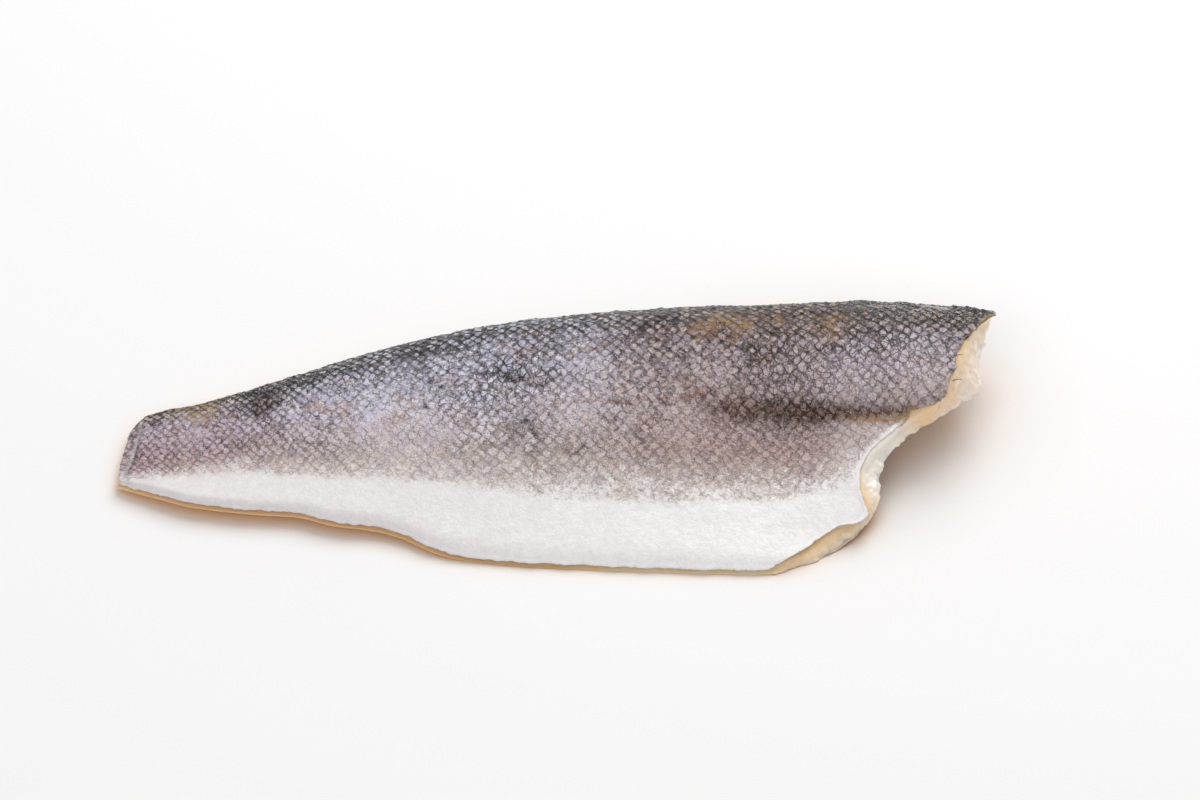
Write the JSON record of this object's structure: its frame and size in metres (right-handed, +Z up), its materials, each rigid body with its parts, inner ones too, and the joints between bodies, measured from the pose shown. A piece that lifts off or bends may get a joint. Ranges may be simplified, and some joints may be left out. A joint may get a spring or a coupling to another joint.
{
  "type": "skin-on fish fillet",
  "caption": "Raw white-fish fillet lying skin side up, with a grey scaled back, a pale belly, a narrow tail end, a fold along the loin and a slanting cut at the raised head end.",
  "frame": {"origin": "centre of the bounding box's base, on the surface that the fillet lies on", "axes": "+X along the length towards the head end, +Y from the belly edge to the back, +Z up out of the skin side"},
  "size_m": [0.2406, 0.0954, 0.0279],
  "materials": {
    "flesh": "moist, slightly translucent raw white flesh",
    "skin": "wet scaled skin, dark along the back and off-white on the belly"
  },
  "bodies": {
    "root": {"flesh": "flesh", "skin": "skin"}
  },
  "joints": []
}
